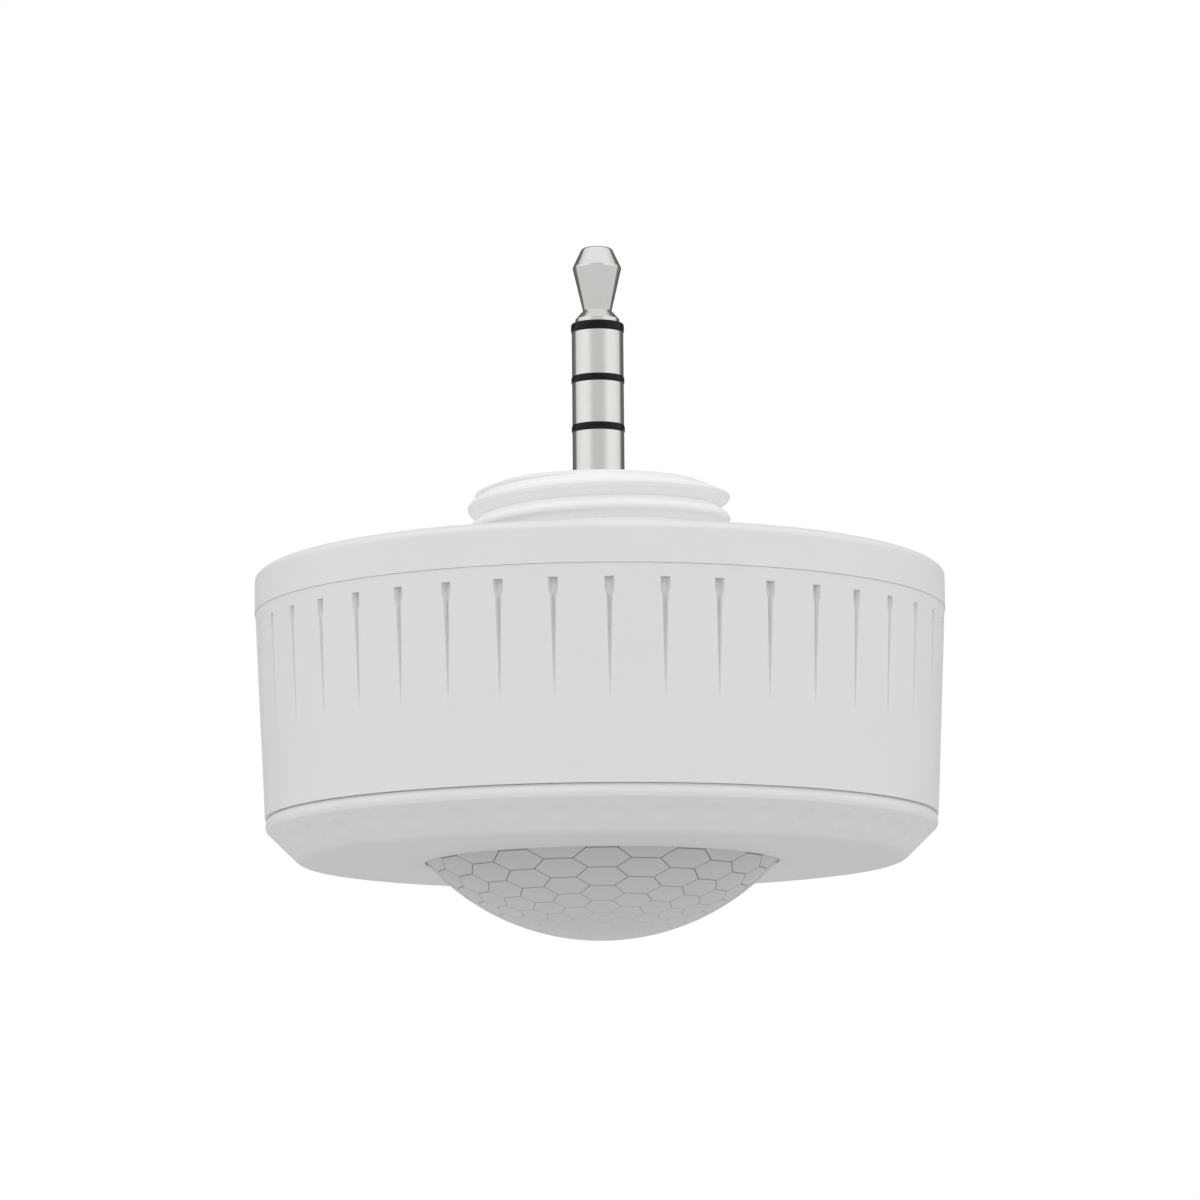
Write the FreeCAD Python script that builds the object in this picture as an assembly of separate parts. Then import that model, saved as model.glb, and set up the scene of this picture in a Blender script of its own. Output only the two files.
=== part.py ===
"""Plug-in passive-infrared motion detector: a round white head with a threaded neck and a four-pole plug.

Frame: millimetres, +Z up. The origin is on the neck's axis, in the plane of the flat seat that bears on the
luminaire. The plug points up (+Z) and the lens dome hangs down (-Z). +X is to the right, and -Y is the front.
"""
import FreeCAD
import Part
import math
import os

# ---------------------------------------------------------------- driving dimensions
# rear cover and its neck
COVER_RADIUS = 23.15        # outer radius of the head at the cover
COVER_HEIGHT = 3.0          # seat plane down to the upper seam
COVER_WALL = 1.6
COVER_EDGE_WIDE = 2.3       # rounded shoulder, radial
COVER_EDGE_TALL = 0.8       # rounded shoulder, axial
SPIGOT_WALL = 1.4           # ring under the cover that the housing snaps over
SPIGOT_LENGTH = 3.4         # below the upper seam
SPIGOT_CLEARANCE = 0.1
SNAP_BEAD = 0.35            # section radius of the bead around the spigot
SNAP_RISE = 0.8             # bead above the spigot's end
SNAP_CLEARANCE = 0.08       # ring's groove around the bead
NECK_HEIGHT = 5.7
NECK_ROOF = 1.6
NECK_WALL = 1.85            # under the thread roots
THREAD_MAJOR = 8.85         # radius over the crests
THREAD_DEPTH = 0.72
THREAD_PITCH = 1.5
THREAD_FLAT = 0.12          # width of a crest between its roundings
THREAD_NOSE = 0.30          # rounding of a crest
THREAD_NOSE_TURN = 50.0     # degrees from the crest to the flank
THREAD_NOSE_STEPS = 3
THREAD_PROUD = 0.1          # groove cutter outside the crests
THREAD_ROOT_Z = 4.22        # height of a root on the +X side
THREAD_RELIEF = 1.5         # plain stretch between the seat and the thread
THREAD_RUN_OUT = 0.5        # turns of groove past the neck's top
NECK_LEAD_WIDE = 1.7        # lead-in cone at the neck's top, radial and axial
NECK_LEAD_TALL = 0.72

# housing ring
RING_STEP = 0.05            # upper edge inside the cover's radius
RING_TAPER = 0.65           # lower edge inside the upper edge
RING_HEIGHT = 13.7
RING_WALL = 1.15            # at the lower edge
UPPER_GAP = 0.015           # shadow gap between cover and ring
LOWER_GAP = 0.012           # shadow gap between ring and bezel
GROOVE_COUNT = 41
GROOVE_PHASE = 1.5          # degrees from the front (-Y) towards +X
GROOVE_TOP_DROP = 0.85      # groove head below the upper seam
GROOVE_HEAD = 0.75          # length of the groove's wide head
GROOVE_SHOULDER = 0.45      # length over which the head narrows to the tail
GROOVE_LENGTH = 7.7
GROOVE_HEAD_WIDTH = 0.64    # widths at the wall's surface
GROOVE_TAIL_WIDTH = 0.38
GROOVE_END_WIDTH = 0.08
GROOVE_DRAFT = 20.0         # lean of the groove's sides, in degrees
GROOVE_DEPTH = 0.50

# front bezel
BEZEL_STEP = 0.05           # rim inside the ring's lower edge
BEZEL_RIM = 0.82            # upright part of the rim, under the lower seam
BEZEL_RIM_EASE = 0.22       # rim's upper edge inside its widest part
BEZEL_RIM_BULGE = 0.38      # lower seam down to the rim's widest part
BEZEL_RIM_LEAN = 0.05       # rim's lower edge inside its widest part
BEZEL_DROP = 2.97           # lower seam down to the flat front face
BEZEL_CHAMFER = 2.25        # radial width of the sloping band
BEZEL_CORNER = 1.0          # rounding between chamfer and front face
BEZEL_RIM_CORNER = 0.15
BEZEL_WALL = 1.4
BEZEL_SKIRT_WALL = 1.2
BEZEL_SKIRT_LENGTH = 5.2    # above the lower seam
DIMPLE_RADIUS = 0.75
DIMPLE_DEPTH = 0.11
DIMPLE_PLACE = 0.42         # share of the chamfer's width, from its upper edge
OPENING_CLEARANCE = 0.05    # lens opening around the dome
OPENING_CORNER = 0.10

# three-start thread between bezel and housing ring
LUG_STARTS = 3
LUG_LEAD = 12.0             # advance in one full turn
LUG_SPAN = 50.0             # degrees covered by each lug
LUG_THICK = 1.0             # axial
LUG_REACH = 1.0             # radial
LUG_AXIAL_CLEARANCE = 0.15
LUG_RADIAL_CLEARANCE = 0.2
LUG_DROP = 1.45             # skirt top down to the middle of its lugs
LUG_FIRST_ANGLE = 90.0
LUG_BITE = 0.3              # how far a lug is rooted in its wall

# Fresnel lens and its retainer
LENS_SPHERE_RADIUS = 15.72
LENS_POLE_DROP = 5.14       # dome pole below the front face
LENS_WALL = 0.55
LENS_FLANGE_WIDTH = 1.54    # flat flange outside the dome's foot
LENS_FLANGE_THICK = 0.65
RETAINER_WIDTH = 1.5
RETAINER_HEIGHT = 1.0
COLLAR_WALL = 1.0
COLLAR_CLEARANCE = 0.2      # lens flange inside the collar

# seals
NECK_SEAL_CORD = 1.8
NECK_GROOVE_DEPTH = 1.2
COVER_SEAL_CORD = 0.9
COVER_SEAL_DROP = 0.45      # upper seam down to the seal's groove
BEZEL_SEAL_CORD = 1.06
SEAL_SLACK = 0.03           # keeps a drawn seal clear of the wall that squeezes it

# four-pole plug
PLUG_RADIUS = 1.75
PLUG_TIP_Z = 22.2           # end of the tip
PLUG_TIP_LAND = (20.73, 20.87)  # lower and upper height of the tip's widest stretch
PLUG_WAIST_Z = 17.85
PLUG_SHOULDER_Z = 17.25
PLUG_TIP_STEP = 0.11        # widest part of the tip, shoulder, waist and end inside the plug's radius
PLUG_SHOULDER_STEP = 0.25
PLUG_WAIST_STEP = 0.78
PLUG_END_STEP = 0.735
PLUG_END_ROUND = 0.3
BAND_FRONT = (16.30, 16.95)  # the three black bands: lower and upper height
BAND_MIDDLE = (12.78, 13.28)
BAND_REAR = (9.42, 9.94)
STEM_RADIUS = 0.35          # the nested conductors, from the middle outwards
CORE_WALL = 0.20            # each nested tube and each insulating layer
SHANK_STEP = 0.75           # shank, flange and rear barrel outside the plug's radius
FLANGE_STEP = 1.85
FLANGE_THICK = 1.0
BARREL_STEP = 0.45
TERMINAL_STEP = 1.1         # how much further each inner conductor reaches at the back
TERMINAL_TOP_Z = 0.9        # back end of the outermost conductor
HOLDER_HEIGHT = 1.5
HOLDER_CLEARANCE = 0.05
PLUG_HOLE_CLEARANCE = 0.05  # shank in the neck's roof
SHEATH_SHOW = 0.2           # how far each insulating sheath shows past the conductor outside it

# circuit board
BOARD_MARGIN = 0.4          # board inside the cover's spigot
BOARD_THICK = 1.2
BOARD_DROP = 5.5            # seat plane down to the board's back face
BOSS_RADIUS = 2.2
BOSS_EDGE = 1.0             # boss inside the board's edge
BOSS_ANGLES = (60.0, 180.0, 300.0)
PILOT_RADIUS = 0.9
PILOT_DEPTH = 3.4
SCREW_CLEARANCE = 0.3       # board's hole around the pilot's radius
SCREW_FIT = 0.03            # shank inside its pilot hole
SCREW_HEAD_RADIUS = 1.9
SCREW_HEAD_HEIGHT = 1.3
SCREW_HEAD_ROUND = 0.5
SCREW_LENGTH = 4.2
SCREW_CROSS_LENGTH = 2.2
SCREW_CROSS_WIDTH = 0.5
SCREW_CROSS_DEPTH = 0.7
WIRE_RADIUS = 0.30
WIRE_PAD_INSET = 0.8        # wire pads inside the neck's bore
WIRE_RISE = 0.4             # wire above the back end of its terminal
WIRE_GAP = 0.02             # end of a wire clear of the round terminal beside it
WIRE_ANGLES = (45.0, 135.0, 225.0, 315.0)
BEND_SHARE = 0.45           # bend radius over the shorter run

# pyroelectric sensor
PYRO_SPACER = 0.5
PYRO_BASE_THICK = 0.6
PYRO_FLANGE_RADIUS = 4.6
PYRO_CAN_RADIUS = 4.1
PYRO_CAN_HEIGHT = 3.4
PYRO_CAN_WALL = 0.25
PYRO_CAN_EDGE = 0.4         # chamfer around the can's face
PYRO_WINDOW = (4.0, 3.0)
PYRO_WINDOW_LAP = 0.4       # pane past the opening on each side
PYRO_WINDOW_THICK = 0.5
PYRO_LEAD_RADIUS = 0.225
PYRO_LEAD_CIRCLE = 2.54
PYRO_LEAD_ANGLES = (90.0, 210.0, 330.0)
PYRO_LEAD_PROUD = 0.8       # leads past the board's back face
LEAD_HOLE_CLEARANCE = 0.15

# light sensor and indicator lamp
LIGHT_SENSOR_CENTRE = (0.0, 6.6)
LIGHT_SENSOR_RADIUS = 1.5
LIGHT_SENSOR_HEIGHT = 4.2
INDICATOR_CENTRE = (7.2, 0.0)
INDICATOR_RADIUS = 1.0
INDICATOR_HEIGHT = 3.2
LAMP_FLANGE = 0.25
LAMP_FOOT = 0.8

# chips
CHIP_STANDOFF = 0.15
CHIP_WIDTH = 3.9
CHIP_THICK = 1.4
CHIP_END = 0.5              # body past its last lead
CHIP_PITCH = 1.27
CHIP_LEAD_REACH = 1.0
CHIP_LEAD_WIDTH = 0.4
LEAD_THICK = 0.2
LEAD_OUT = 0.35             # lead's level stretch beside the body
CONTROLLER_PINS = 7         # on each side
CONTROLLER_CENTRE = (0.0, 11.6)
AMPLIFIER_PINS = 4
AMPLIFIER_CENTRE = (-10.6, 1.2)
REGULATOR_SIZE = (4.5, 2.5, 1.5)
REGULATOR_CENTRE = (-9.6, -5.2)
REGULATOR_TURN = 30.0

# capacitors and resistors
CAPACITOR_RADIUS = 2.5
CAPACITOR_HEIGHT = 5.4
CAPACITOR_BASE = 0.9
CAPACITOR_BASE_MARGIN = 0.15
CAPACITOR_WAIST_DROP = 0.8  # base to the middle of the rolled waist
CAPACITOR_WAIST_HALF = 0.3
CAPACITOR_WAIST_DEPTH = 0.25
CAPACITOR_EDGE = 0.25
CAPACITOR_CENTRES = ((12.4, -3.6), (12.4, 3.4))
ROW_PITCH = 1.5
RESISTOR_SIZE = (1.6, 0.8, 0.45)
RESISTOR_COUNT = 5
RESISTOR_START = (-6.6, -1.5)
CERAMIC_SIZE = (2.0, 1.25, 0.9)
CERAMIC_COUNT = 3           # in each of its rows
CERAMIC_STARTS = ((7.6, -8.2), (7.6, 4.4))

# settings switch
SWITCH_CENTRE_Y = -12.2
SWITCH_WIDTH = 6.4
SWITCH_HEIGHT = 3.6
SWITCH_END = 0.62           # body past its last way
SWITCH_PITCH = 2.54
SWITCH_WAYS = 4
SWITCH_LEAD_REACH = 1.1
SWITCH_LEAD_WIDTH = 0.6
SWITCH_LEAD_RISE = 0.75     # leads leave the body this far from the board
SLIDER_SIZE = (1.1, 1.3, 1.5)
SLIDER_TRAVEL = 1.8
SLIDER_CLEARANCE = 0.1
SLIDER_PROUD = 0.6

# ---------------------------------------------------------------- heights worked out from the above
SEAM_UPPER = -COVER_HEIGHT
RING_TOP = SEAM_UPPER - UPPER_GAP
RING_BOTTOM = RING_TOP - RING_HEIGHT
SEAM_LOWER = RING_BOTTOM - LOWER_GAP
FRONT_FACE = SEAM_LOWER - BEZEL_DROP
PLATE_INSIDE = FRONT_FACE + BEZEL_WALL
LENS_CENTRE = FRONT_FACE - LENS_POLE_DROP + LENS_SPHERE_RADIUS
BOARD_BACK = -BOARD_DROP
BOARD_FRONT = BOARD_BACK - BOARD_THICK
RING_TOP_RADIUS = COVER_RADIUS - RING_STEP
RING_BOTTOM_RADIUS = RING_TOP_RADIUS - RING_TAPER
RING_BORE = RING_BOTTOM_RADIUS - RING_WALL
BEZEL_RADIUS = RING_BOTTOM_RADIUS - BEZEL_STEP
BEZEL_FACE_RADIUS = BEZEL_RADIUS - BEZEL_CHAMFER
THREAD_MINOR = THREAD_MAJOR - THREAD_DEPTH
NECK_BORE = THREAD_MINOR - NECK_WALL
SHANK_RADIUS = PLUG_RADIUS + SHANK_STEP
FLANGE_RADIUS = PLUG_RADIUS + FLANGE_STEP
BARREL_RADIUS = PLUG_RADIUS + BARREL_STEP
PLUG_TIP_RADIUS = PLUG_RADIUS - PLUG_TIP_STEP
PLUG_SHOULDER_RADIUS = PLUG_RADIUS - PLUG_SHOULDER_STEP
PLUG_WAIST_RADIUS = PLUG_RADIUS - PLUG_WAIST_STEP
PLUG_END_RADIUS = PLUG_RADIUS - PLUG_END_STEP
SPIGOT_RADIUS = RING_BORE - SPIGOT_CLEARANCE
BOARD_RADIUS = SPIGOT_RADIUS - SPIGOT_WALL - BOARD_MARGIN
BOSS_CIRCLE = BOARD_RADIUS - BOSS_RADIUS - BOSS_EDGE
WIRE_PAD_CIRCLE = NECK_BORE - WIRE_PAD_INSET
SKIRT_RADIUS = RING_BORE - LUG_RADIAL_CLEARANCE - LUG_REACH
SKIRT_TOP = SEAM_LOWER + BEZEL_SKIRT_LENGTH
SNAP_HEIGHT = SEAM_UPPER - SPIGOT_LENGTH + SNAP_RISE
MALE_LUG_Z = SKIRT_TOP - LUG_DROP
FEMALE_LUG_Z = MALE_LUG_Z - LUG_THICK - LUG_AXIAL_CLEARANCE
PYRO_FACE = BOARD_FRONT - PYRO_SPACER
PYRO_BASE = PYRO_FACE - PYRO_BASE_THICK
SWITCH_LENGTH = SWITCH_PITCH * SWITCH_WAYS + 2 * SWITCH_END
SWITCH_FACE = BOARD_FRONT - SWITCH_HEIGHT
SLIDER_REST_Y = SWITCH_CENTRE_Y - SLIDER_TRAVEL / 2
GROOVE_ANGLES = [-90.0 + GROOVE_PHASE + 360.0 * k / GROOVE_COUNT for k in range(GROOVE_COUNT)]
AXIS = FreeCAD.Vector(0, 0, 1)
ORIGIN = FreeCAD.Vector(0, 0, 0)
OVERRUN = 1.0               # how far a cutter reaches past what it cuts


# ---------------------------------------------------------------- small tools
def at(radius, z):
    """A point of a profile drawn in the XZ plane."""
    return FreeCAD.Vector(radius, 0, z)


def around(radius, degrees, z=0.0):
    """A point at a radius and an angle from +X."""
    a = math.radians(degrees)
    return FreeCAD.Vector(radius * math.cos(a), radius * math.sin(a), z)


def line(a, b):
    return Part.LineSegment(a, b).toShape()


def arc(a, middle, b):
    return Part.Arc(a, middle, b).toShape()


def corner(before, point, after, radius):
    """The two tangent points and the middle of a circular rounding of a profile's corner."""
    u = (before - point).normalize()
    v = (after - point).normalize()
    half = u.getAngle(v) / 2
    reach = radius / math.tan(half)
    bisector = (u + v).normalize()
    middle = point + bisector * (radius / math.sin(half) - radius)
    return point + u * reach, middle, point + v * reach


def turned(edges):
    """Revolves a closed profile about the axis."""
    face = Part.Face(Part.Wire(Part.__sortEdges__(edges)))
    return face.revolve(ORIGIN, AXIS, 360)


def turned_points(points):
    """Revolves a closed polygon of (radius, z) about the axis."""
    corners = [at(*p) for p in points]
    return Part.Face(Part.makePolygon(corners + corners[:1])).revolve(ORIGIN, AXIS, 360)


def tube(outer, inner, z_low, z_high, centre=ORIGIN):
    """A tube, or a disc where inner is 0."""
    base = FreeCAD.Vector(centre.x, centre.y, z_low)
    solid = Part.makeCylinder(outer, z_high - z_low, base)
    if inner > 0:
        solid = solid.cut(Part.makeCylinder(inner, z_high - z_low, base))
    return solid


def block(size, centre, turn=0.0):
    """A box of a size about a centre, turned about its own upright axis."""
    x, y, z = size
    box = Part.makeBox(x, y, z, FreeCAD.Vector(-x / 2, -y / 2, -z / 2))
    box.rotate(ORIGIN, AXIS, turn)
    box.translate(centre)
    return box


def seal(centre_radius, cord, z):
    """A round-section sealing ring."""
    return Part.makeTorus(centre_radius, cord / 2, FreeCAD.Vector(0, 0, z))


def helical_bar(corners, lead, degrees, start_degrees, z_start):
    """Sweeps a profile of (radius, z) corners up a right-handed helix."""
    height = lead * degrees / 360.0
    mean = sum(r for r, _ in corners) / len(corners)
    path = Part.Wire(Part.makeLongHelix(lead, height, mean))
    points = [at(*c) for c in corners]
    bar = path.makePipeShell([Part.makePolygon(points + points[:1])], True, True)
    bar.rotate(ORIGIN, AXIS, start_degrees)
    bar.translate(FreeCAD.Vector(0, 0, z_start))
    return Part.Solid(bar) if bar.ShapeType != "Solid" else bar


def united(shapes):
    return shapes[0].multiFuse(shapes[1:]).removeSplitter()


def save(node, *shapes):
    """Writes one node; several shapes stay separate solids."""
    solids = [s for shape in shapes for s in shape.Solids]
    for solid in solids:
        if not solid.isValid() or solid.Volume <= 0:
            raise ValueError("bad solid in " + node)
    whole = solids[0] if len(solids) == 1 else Part.makeCompound(solids)
    whole.exportStep("parts/" + node + ".step")
    print(node, len(solids), round(sum(s.Volume for s in solids), 3))


# ---------------------------------------------------------------- rear cover
def thread_groove_profile():
    """Outline of the V groove between two rounded crests, as (radius, height) corners about the root."""
    half_pitch = (THREAD_PITCH - THREAD_FLAT) / 2
    turns = [math.radians(THREAD_NOSE_TURN * k / THREAD_NOSE_STEPS) for k in range(THREAD_NOSE_STEPS, -1, -1)]
    upper = [
        (THREAD_MAJOR - THREAD_NOSE * (1 - math.cos(t)), half_pitch - THREAD_NOSE * math.sin(t))
        for t in turns
    ]
    upper.append((THREAD_MAJOR + THREAD_PROUD, half_pitch))
    lower = [(r, -z) for r, z in reversed(upper)]
    return [(THREAD_MINOR, 0)] + upper + lower


def neck_thread():
    """The cutter of the neck's right-handed groove, from the relief to past the neck's top."""
    turns_below = math.ceil((THREAD_ROOT_Z - THREAD_RELIEF) / THREAD_PITCH)
    start = THREAD_ROOT_Z - THREAD_PITCH * turns_below
    turns = math.ceil((NECK_HEIGHT - start) / THREAD_PITCH) + THREAD_RUN_OUT
    return helical_bar(thread_groove_profile(), THREAD_PITCH, 360.0 * turns, 0.0, start)


def neck():
    """The threaded neck, solid, with its plain relief next to the seat and its lead-in cone."""
    blank = turned_points([
        (0, -COVER_WALL / 2),
        (THREAD_MINOR, -COVER_WALL / 2),
        (THREAD_MINOR, THREAD_RELIEF),
        (THREAD_MAJOR, THREAD_RELIEF + THREAD_DEPTH / 2),
        (THREAD_MAJOR, NECK_HEIGHT - NECK_LEAD_TALL),
        (THREAD_MAJOR - NECK_LEAD_WIDE, NECK_HEIGHT),
        (0, NECK_HEIGHT),
    ])
    return blank.cut(neck_thread())


def cover_shell():
    """The dished cover with its spigot, before bosses and neck."""
    spigot_end = SEAM_UPPER - SPIGOT_LENGTH
    spigot_inner = SPIGOT_RADIUS - SPIGOT_WALL
    groove_root = RING_BORE - COVER_SEAL_CORD - 2 * SEAL_SLACK
    groove_top = SEAM_UPPER - COVER_SEAL_DROP
    groove_low = groove_top - COVER_SEAL_CORD - 4 * SEAL_SLACK
    flat_radius = COVER_RADIUS - COVER_EDGE_WIDE
    shoulder = Part.ArcOfEllipse(
        Part.Ellipse(at(flat_radius, -COVER_EDGE_TALL), COVER_EDGE_WIDE, COVER_EDGE_TALL), 0, math.pi / 2)
    edge = shoulder.toShape()
    edge.rotate(at(flat_radius, -COVER_EDGE_TALL), FreeCAD.Vector(1, 0, 0), 90)
    points = [
        at(COVER_RADIUS, -COVER_EDGE_TALL),
        at(COVER_RADIUS, SEAM_UPPER),
        at(SPIGOT_RADIUS, SEAM_UPPER),
        at(SPIGOT_RADIUS, groove_top),
        at(groove_root, groove_top),
        at(groove_root, groove_low),
        at(SPIGOT_RADIUS, groove_low),
        at(SPIGOT_RADIUS, spigot_end),
        at(spigot_inner, spigot_end),
        at(spigot_inner, -COVER_WALL),
        at(0, -COVER_WALL),
        at(0, 0),
        at(flat_radius, 0),
    ]
    edges = [line(a, b) for a, b in zip(points, points[1:])]
    return turned(edges + [edge])


def rear_cover():
    """Cover, threaded neck, snap bead and the three bosses that carry the circuit board."""
    shell = cover_shell()
    bead = Part.makeTorus(SPIGOT_RADIUS, SNAP_BEAD, FreeCAD.Vector(0, 0, SNAP_HEIGHT))
    groove_outer = THREAD_MINOR + NECK_SEAL_CORD + 2 * SEAL_SLACK
    groove_floor = -NECK_GROOVE_DEPTH - COVER_WALL
    seat_groove = tube(groove_outer, THREAD_MINOR, -NECK_GROOVE_DEPTH, OVERRUN)
    floor_under_groove = tube(groove_outer + COVER_WALL, NECK_BORE, groove_floor, -COVER_WALL / 2)
    bosses = [
        tube(BOSS_RADIUS, 0, BOARD_BACK, -COVER_WALL / 2, around(BOSS_CIRCLE, a))
        for a in BOSS_ANGLES
    ]
    body = united([shell, floor_under_groove, bead] + bosses).cut(seat_groove).fuse(neck())
    roof_inside = NECK_HEIGHT - NECK_ROOF
    body = body.cut(tube(NECK_BORE, 0, groove_floor - OVERRUN, roof_inside))
    body = body.cut(tube(SHANK_RADIUS + PLUG_HOLE_CLEARANCE, 0, roof_inside - OVERRUN, NECK_HEIGHT + OVERRUN))
    for a in BOSS_ANGLES:
        pilot = tube(PILOT_RADIUS, 0, BOARD_BACK - OVERRUN, BOARD_BACK + PILOT_DEPTH, around(BOSS_CIRCLE, a))
        body = body.cut(pilot)
    return body


def neck_seal():
    z = -NECK_GROOVE_DEPTH + NECK_SEAL_CORD / 2 + SEAL_SLACK
    return seal(THREAD_MINOR + NECK_SEAL_CORD / 2 + SEAL_SLACK, NECK_SEAL_CORD, z)


def cover_seal():
    z = SEAM_UPPER - COVER_SEAL_DROP - COVER_SEAL_CORD / 2 - 2 * SEAL_SLACK
    return seal(RING_BORE - COVER_SEAL_CORD / 2 - SEAL_SLACK, COVER_SEAL_CORD, z)


# ---------------------------------------------------------------- housing ring
def flat_sided(sections):
    """A solid with flat faces through four-cornered sections, listed from the top down."""
    faces = [Part.Face(Part.makePolygon(sections[0] + sections[0][:1]))]
    for upper, lower in zip(sections, sections[1:]):
        for k in range(4):
            following = (k + 1) % 4
            faces.append(Part.Face(Part.makePolygon(
                [upper[k], lower[k], lower[following], upper[following], upper[k]])))
    last = sections[-1][::-1]
    faces.append(Part.Face(Part.makePolygon(last + last[:1])))
    return Part.makeSolid(Part.makeShell(faces))


def groove_cutter(degrees):
    """One tapered grip groove: a wide head, then a tail that thins and runs out of the wall lower down."""
    slope = (RING_TOP_RADIUS - RING_BOTTOM_RADIUS) / RING_HEIGHT
    draft = math.tan(math.radians(GROOVE_DRAFT))
    outside = RING_TOP_RADIUS + OVERRUN
    widths = (
        (0, GROOVE_HEAD_WIDTH),
        (GROOVE_HEAD, GROOVE_HEAD_WIDTH),
        (GROOVE_HEAD + GROOVE_SHOULDER, GROOVE_TAIL_WIDTH),
        (GROOVE_LENGTH, GROOVE_END_WIDTH),
    )
    sections = []
    for drop, width in widths:
        z = RING_TOP - GROOVE_TOP_DROP - drop
        surface = RING_TOP_RADIUS - slope * (GROOVE_TOP_DROP + drop)
        floor = surface - GROOVE_DEPTH * (1 - drop / GROOVE_LENGTH)
        half_floor = width / 2 - (surface - floor) * draft
        half_mouth = width / 2 + (outside - surface) * draft
        sections.append([
            FreeCAD.Vector(floor, -half_floor, z),
            FreeCAD.Vector(outside, -half_mouth, z),
            FreeCAD.Vector(outside, half_mouth, z),
            FreeCAD.Vector(floor, half_floor, z),
        ])
    cutter = flat_sided(sections)
    cutter.rotate(ORIGIN, AXIS, degrees)
    return cutter


def lug(radius_inner, radius_outer, middle_degrees, middle_z):
    """One helical lug of the three-start thread."""
    profile = [
        (radius_inner, -LUG_THICK / 2),
        (radius_outer, -LUG_THICK / 2),
        (radius_outer, LUG_THICK / 2),
        (radius_inner, LUG_THICK / 2),
    ]
    rise = LUG_LEAD * LUG_SPAN / 360.0
    return helical_bar(profile, LUG_LEAD, LUG_SPAN, middle_degrees - LUG_SPAN / 2, middle_z - rise / 2)


def lugs(radius_inner, radius_outer, middle_z):
    """The lugs of one wall, evenly spaced."""
    step = 360.0 / LUG_STARTS
    return [lug(radius_inner, radius_outer, LUG_FIRST_ANGLE + step * k, middle_z) for k in range(LUG_STARTS)]


def housing_ring():
    """The tapered ring with its grip grooves, snap groove and inner thread lugs."""
    wall = turned_points([
        (RING_BORE, RING_BOTTOM),
        (RING_BOTTOM_RADIUS, RING_BOTTOM),
        (RING_TOP_RADIUS, RING_TOP),
        (RING_BORE, RING_TOP),
    ])
    snap = Part.makeTorus(SPIGOT_RADIUS, SNAP_BEAD + SNAP_CLEARANCE, FreeCAD.Vector(0, 0, SNAP_HEIGHT))
    wall = wall.cut(snap)
    wall = wall.cut(Part.makeCompound([groove_cutter(a) for a in GROOVE_ANGLES]))
    return wall.multiFuse(lugs(RING_BORE - LUG_REACH, RING_BORE + LUG_BITE, FEMALE_LUG_Z))


# ---------------------------------------------------------------- front bezel, lens and retainer
def rim_low():
    """Where the bezel's rim meets its chamfer, before rounding."""
    return at(BEZEL_RADIUS - BEZEL_RIM_LEAN, SEAM_LOWER - BEZEL_RIM)


def face_edge():
    """Where the bezel's chamfer meets its flat front face, before rounding."""
    return at(BEZEL_FACE_RADIUS, FRONT_FACE)


def sphere_radius_at(radius, z):
    """Radius, about the axis, at which a sphere about the dome's centre reaches a height."""
    return math.sqrt(radius ** 2 - (z - LENS_CENTRE) ** 2)


def flange_radius():
    """Outer radius of the lens's flange."""
    return sphere_radius_at(LENS_SPHERE_RADIUS, PLATE_INSIDE) + LENS_FLANGE_WIDTH


def bezel_profile():
    """Half section of the bezel: rim, chamfer, front plate, lens opening, collar and skirt."""
    rim_top = at(BEZEL_RADIUS - BEZEL_RIM_EASE, SEAM_LOWER)
    bulge = at(BEZEL_RADIUS, SEAM_LOWER - BEZEL_RIM_BULGE)
    opening_low = at(sphere_radius_at(LENS_SPHERE_RADIUS, FRONT_FACE) + OPENING_CLEARANCE, FRONT_FACE)
    opening_top = at(sphere_radius_at(LENS_SPHERE_RADIUS, PLATE_INSIDE) + OPENING_CLEARANCE, PLATE_INSIDE)
    a1, m1, b1 = corner(bulge, rim_low(), face_edge(), BEZEL_RIM_CORNER)
    a2, m2, b2 = corner(rim_low(), face_edge(), opening_low, BEZEL_CORNER)
    a3, m3, b3 = corner(face_edge(), opening_low, opening_top, OPENING_CORNER)
    collar_inner = flange_radius() + COLLAR_CLEARANCE
    collar_outer = collar_inner + COLLAR_WALL
    collar_top = PLATE_INSIDE + LENS_FLANGE_THICK + RETAINER_HEIGHT
    skirt_inner = SKIRT_RADIUS - BEZEL_SKIRT_WALL
    inside = [
        opening_top,
        at(collar_inner, PLATE_INSIDE),
        at(collar_inner, collar_top),
        at(collar_outer, collar_top),
        at(collar_outer, PLATE_INSIDE),
        at(skirt_inner, PLATE_INSIDE),
        at(skirt_inner, SKIRT_TOP),
        at(SKIRT_RADIUS, SKIRT_TOP),
        at(SKIRT_RADIUS, SEAM_LOWER),
        rim_top,
    ]
    edges = [arc(rim_top, bulge, a1), arc(a1, m1, b1), line(b1, a2), arc(a2, m2, b2), line(b2, a3)]
    edges += [arc(a3, m3, b3), line(b3, opening_top)]
    edges += [line(p, q) for p, q in zip(inside, inside[1:])]
    return edges


def dimple(degrees):
    """A shallow finger dimple in the bezel's chamfer, under one groove."""
    along = face_edge() - rim_low()
    outward = FreeCAD.Vector(-along.z, 0, along.x).normalize()
    ball = (DIMPLE_RADIUS ** 2 + DIMPLE_DEPTH ** 2) / (2 * DIMPLE_DEPTH)
    centre = rim_low() + along * DIMPLE_PLACE + outward * (ball - DIMPLE_DEPTH)
    cutter = Part.makeSphere(ball, centre)
    cutter.rotate(ORIGIN, AXIS, degrees)
    return cutter


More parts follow.
